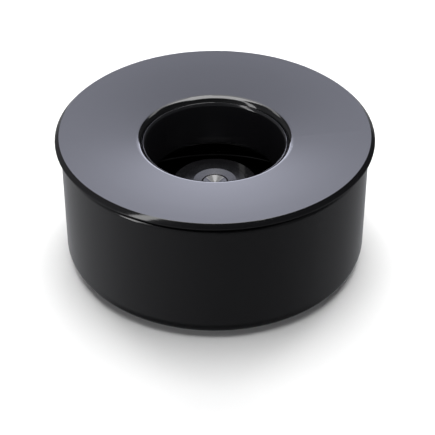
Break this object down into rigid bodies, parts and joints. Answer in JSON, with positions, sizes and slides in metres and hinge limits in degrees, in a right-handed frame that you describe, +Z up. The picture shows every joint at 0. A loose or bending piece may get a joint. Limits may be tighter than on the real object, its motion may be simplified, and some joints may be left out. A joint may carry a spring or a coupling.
{
  "type": "tabletop ash and waste pot",
  "caption": "Low round black table pot with a dished lift-off ring lid, a lift-out funnel and a stub-out post with a dished cap.",
  "frame": {"origin": "on the pot's vertical axis, in the plane of the undersides of the foot pads, which is the table", "axes": "+Z up along the axis of revolution; -Y is the side towards the viewer; +X is to the viewer's right"},
  "size_m": [0.12, 0.12, 0.0534],
  "materials": {
    "bowl_black": "gloss black melamine with fine moulding texture",
    "lid_black": "polished black melamine",
    "funnel_black": "semi-gloss black melamine",
    "post_black": "gloss black melamine",
    "cap_black": "smooth gloss black melamine",
    "fixing_steel": "zinc plated",
    "pad_rubber": "matt black rubber"
  },
  "bodies": {
    "pot": {"bowl": "bowl_black", "stub_post": "post_black", "stub_cap": "cap_black", "post_screw": "fixing_steel", "post_washer": "fixing_steel", "foot_pad_1": "pad_rubber", "foot_pad_2": "pad_rubber", "foot_pad_3": "pad_rubber", "foot_pad_4": "pad_rubber"},
    "lid_body": {"lid": "lid_black"},
    "funnel_body": {"funnel": "funnel_black"}
  },
  "joints": [
    {"name": "lid_lift", "type": "slide", "parent": "pot", "child": "lid_body", "axis": [0, 0, 1], "range_m": [0, 0.06]},
    {"name": "funnel_lift", "type": "slide", "parent": "lid_body", "child": "funnel_body", "axis": [0, 0, 1], "range_m": [0, 0.04]}
  ]
}
